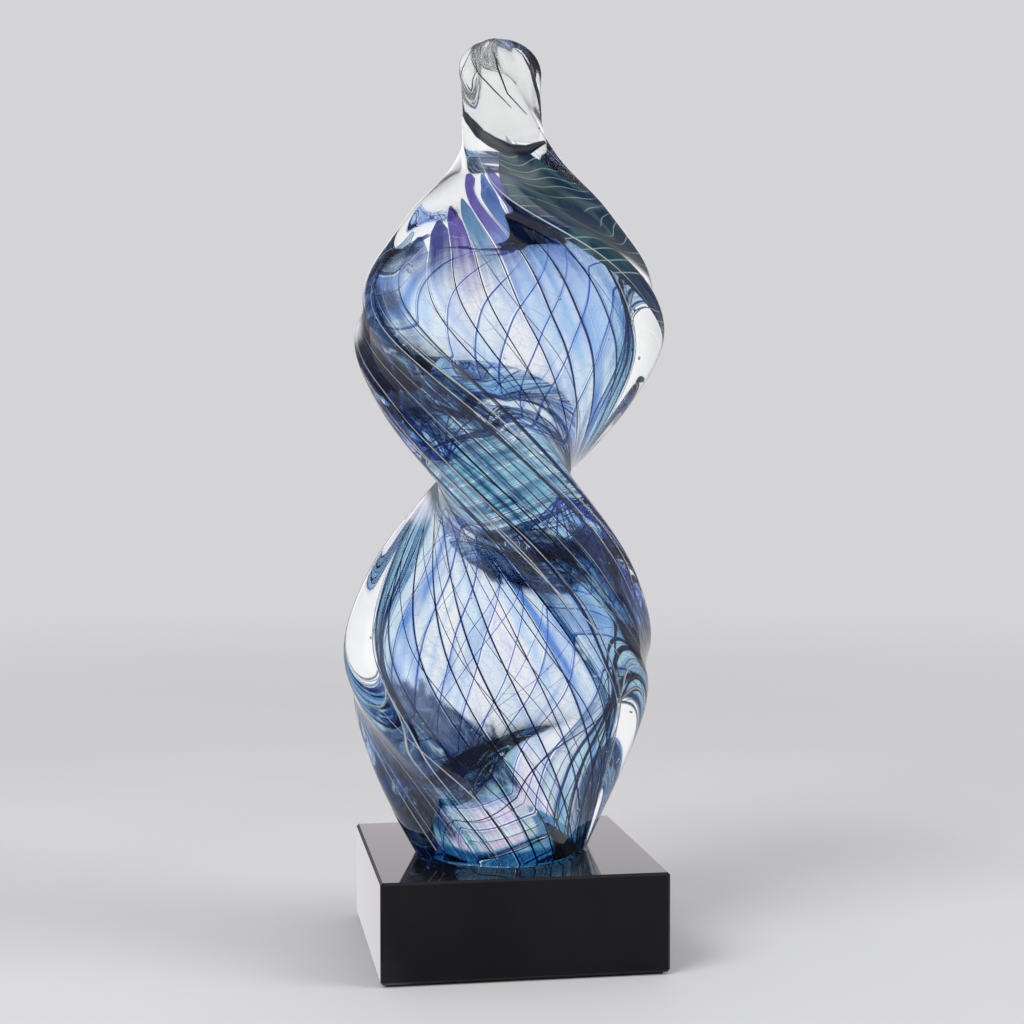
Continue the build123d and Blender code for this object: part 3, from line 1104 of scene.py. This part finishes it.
def waist_lines():
    """Close dark hairs up the narrow side that crosses the waist in front."""
    for share in WAIST_SHARES:
        height = np.linspace(rng.uniform(38, 60), rng.uniform(165, 188), 140)
        radius = rng.uniform(*WAIST_RADII) * taper(height, 25, 0.15, both=True)
        yield ring_place(height, WAIST_DEPTH, share + drift(height, 0.003)), radius, DARK_TONE


def crease_highlight_lines():
    """Pale threads along the corners of the slab where its narrow sides are dark, which paint the highlight
    lines along those corners.
    """
    for start, way, low, high in CREASES:
        height = np.linspace(low, high + rng.uniform(-4, 4), 150)
        share = start + way * (corner_share(height, CREASE_DEPTH) + drift(height, 0.002))
        radius = CREASE_RADIUS * taper(height, 22, 0.12, both=True) * (1 + drift(height, 0.3))
        yield wall_place(height, CREASE_DEPTH, share), radius, MIDDLE_TONE


def shade_outline_lines():
    """Dark threads of painted shade, as outlines round the pale leaf in the tip."""
    for shade_outline in (SHADE_OUTLINE_LEFT, SHADE_OUTLINE_RIGHT, SHADE_OUTLINE_FOLD, SHADE_OUTLINE_VEIN):
        step = np.linspace(0, len(shade_outline) - 1, 12 * len(shade_outline))
        across, height, radius = (np.interp(step, np.arange(len(shade_outline)), shade_outline[:, i]) for i in range(3))
        yield front_place(height, across, SHADE_OUTLINE_COVER + radius), radius, DARK_TONE


def node_names(stem, numbers):
    return [f"{stem}_{n:02d}" for n in numbers]


for obj, slot, names in (
    (make_casing(), "clear_glass", ["clear_casing"]),
    (make_core(), "core_glass", ["core_gather"]),
    (make_bars("opal_bars", OPAL, OPAL_GLASS), "opal_glass", node_names("colour_bar", OPAL)),
    (make_bars("blue_bars", BLUE, BLUE_GLASS), "blue_glass", node_names("colour_bar", BLUE)),
    (make_bars("teal_bars", TEAL, TEAL_GLASS), "teal_glass", node_names("colour_bar", TEAL)),
    (make_bars("violet_bars", VIOLET, VIOLET_GLASS), "violet_glass", node_names("colour_bar", VIOLET)),
    (
        make_threads("stringer_threads", stringer_lines(), NAVY, sides=8), "stringer_glass",
        node_names("stringer", CANE_NUMBERS),
    ),
    (make_threads("fine_threads", hair_lines(), NAVY), "stringer_glass", []),
    # White threads that paint highlight lines along the ring's corners
    (make_threads("white_highlight_threads", highlight_lines(), WHITE_HIGHLIGHT), "opal_glass", []),
    (make_threads("waist_threads", waist_lines(), INK), "stringer_glass", []),
    # White threads that paint the highlights along the slab's corners
    (make_threads("crease_highlight_threads", crease_highlight_lines(), WHITE_HIGHLIGHT), "opal_glass", []),
    # Dark threads that paint shaded outlines in the tip
    (make_threads("tip_shade_outlines", shade_outline_lines(), INK, sides=10), "stringer_glass", []),
    (make_strips("tip_painted_light_leaf", [tip_painted_light_leaf()], PAINTED_LIGHT_GLASS), "opal_glass", []),
    (make_strips("swirl_band", [swirl_sheet()], SWIRL_GLASS), "teal_glass", []),
):
    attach(obj, "root")
    if names:
        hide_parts(*names)
for name, finish, slot in (
    ("base_block", BLACK, "black_glass"),
    ("felt_pad", FELT, "felt"),
    ("bond_film", ADHESIVE, "adhesive"),
):
    nodes[name].data.materials.clear()
    nodes[name].data.materials.append(finish)


# Stage: a pale floor, a soft studio world and two soft lamps
PALE = (0.66, 0.655, 0.68, 1)
PALE_THROUGH = (0.95, 0.95, 0.96, 1)
FLOOR_RADIUS = 6.0
FADE_START = 0.1
FADE_END = 1.3
FADE_END_THROUGH = 0.14
CARD_EDGES = (-0.085, -0.065, -0.042, -0.03)
CARD_LIGHT = (1.2, 1.17, 1.2, 1)


def make_floor_finish():
    """A pale floor that fades to an even glow, with a bright card that only the block's gloss shows."""
    made, tree, shader, _colour, _grain = mottled_parts(
        "Pale floor", (0.66, 0.66, 0.67, 1), (0.64, 0.64, 0.65, 1), 6.0, Roughness=0.7
    )
    path = tree.nodes.new("ShaderNodeLightPath").outputs
    through = path["Is Transmission Ray"]
    watched = calc(tree, "MAXIMUM", path["Is Camera Ray"], through)
    watched = calc(tree, "MAXIMUM", watched, path["Is Glossy Ray"])
    place = object_place(tree)
    away = fed(tree, tree.nodes.new("ShaderNodeVectorMath"), _0=place)
    away.operation = "LENGTH"
    end = less(tree, FADE_END, times(tree, through, FADE_END - FADE_END_THROUGH))
    fade = times(tree, ranged(tree, away.outputs["Value"], FADE_START, end), watched)
    card = less(tree, path["Is Glossy Ray"], through)
    card = times(tree, card, between(tree, axes_of(tree, place)[0], *CARD_EDGES))
    glow = tree.nodes.new("ShaderNodeEmission")
    light = mixed(tree, card, mixed(tree, through, PALE, PALE_THROUGH), CARD_LIGHT)
    fed(tree, glow, Color=light, Strength=1.0)
    blend = tree.nodes.new("ShaderNodeMixShader")
    fade = calc(tree, "MAXIMUM", fade, card)
    fed(tree, blend, _0=fade, _1=shader.outputs[0], _2=glow.outputs[0])
    fed(tree, tree.nodes["Material Output"], Surface=blend.outputs[0])
    return made


bpy.ops.mesh.primitive_circle_add(vertices=96, radius=FLOOR_RADIUS, fill_type="NGON", location=(0, 0, 0))
floor = bpy.context.object
floor.name = "floor"
floor.data.materials.append(make_floor_finish())

# The world, by angle from straight behind the part and by height: flags, strips and a panel
FLAG_EDGES = (0.95, 1.1, 1.35, 1.5)
FLAG_DEPTH = 0.8
FLAG_TOP = (0.45, 0.7)
STRIP_EDGES = (1.42, 1.5, 1.7, 1.78)
PANEL_SIDES = (0.6, 0.35)
PANEL_EDGES = (0.06, 0.17, 0.28, 0.36)
CEILING_EDGES = (0.8, 0.9)


def make_world():
    """Even light, with dark flags seen through the glass and bright panels seen in its gloss."""
    world = bpy.data.worlds.new("Studio")
    scene.world = world
    world.use_nodes = True
    tree = world.node_tree
    x, y, z = axes_of(tree, tree.nodes.new("ShaderNodeTexCoord").outputs["Generated"])
    azimuth = calc(tree, "ABSOLUTE", calc(tree, "ARCTAN2", x, y))
    flag = times(tree, between(tree, azimuth, *FLAG_EDGES), FLAG_DEPTH)
    through = mixed(tree, flag, (0.97, 0.97, 0.97, 1), (0.1, 0.1, 0.11, 1))
    through = mixed(tree, ranged(tree, z, *FLAG_TOP), through, (0.95, 0.95, 0.95, 1))
    panel = times(tree, ranged(tree, azimuth, *PANEL_SIDES), between(tree, z, *PANEL_EDGES))
    mirrored = mixed(tree, panel, (0.22, 0.22, 0.23, 1), (1.6, 1.52, 1.6, 1))
    mirrored = mixed(tree, between(tree, azimuth, *STRIP_EDGES), mirrored, (0.6, 0.6, 0.6, 1))
    mirrored = mixed(tree, ranged(tree, z, *CEILING_EDGES), mirrored, (1.5, 1.5, 1.5, 1))
    path = tree.nodes.new("ShaderNodeLightPath").outputs
    light = mixed(tree, path["Is Glossy Ray"], (0.55, 0.55, 0.56, 1), mirrored)
    light = mixed(tree, path["Is Transmission Ray"], light, through)
    light = mixed(tree, path["Is Camera Ray"], light, PALE)
    fed(tree, tree.nodes["Background"], Color=light, Strength=1.0)


make_world()

LAMP_TARGET = Vector((0, 0, 0.12))

# Soft lamps, which aren't seen in the glass or through it
for name, place, size, power in (
    ("key lamp", (-0.9, -0.7, 1.1), (0.7, 0.9), 14),
    ("fill lamp", (1.0, -0.5, 0.8), (0.6, 0.9), 7),
):
    data = bpy.data.lights.new(name, "AREA")
    data.shape = "RECTANGLE"
    data.size, data.size_y = size
    data.energy = power
    lamp = bpy.data.objects.new(name, data)
    scene.collection.objects.link(lamp)
    lamp.location = place
    lamp.rotation_mode = "QUATERNION"
    lamp.rotation_quaternion = (LAMP_TARGET - Vector(place)).to_track_quat("-Z", "Y")
    lamp.visible_transmission = False
    lamp.visible_glossy = False

# Camera at the photo's angle: angles in degrees, lens and sensor in mm, place in metres
CAMERA_TILT = 2.1556
CAMERA_TURN = 9.3905
camera = bpy.data.objects.new("camera", bpy.data.cameras.new("camera"))
scene.collection.objects.link(camera)
camera.data.lens = 65.06
camera.data.sensor_width = 36.0
camera.data.clip_start, camera.data.clip_end = 0.01, 50.0
camera.location = (-0.09608, -0.59696, 0.16493)
camera.rotation_euler = (math.radians(90 - CAMERA_TILT), 0.0, math.radians(-CAMERA_TURN))
scene.camera = camera
scene.view_settings.view_transform = "Standard"

# Light passes many thin sheets of glass
BOUNCES = 28
scene.cycles.max_bounces = BOUNCES
scene.cycles.transmission_bounces = BOUNCES
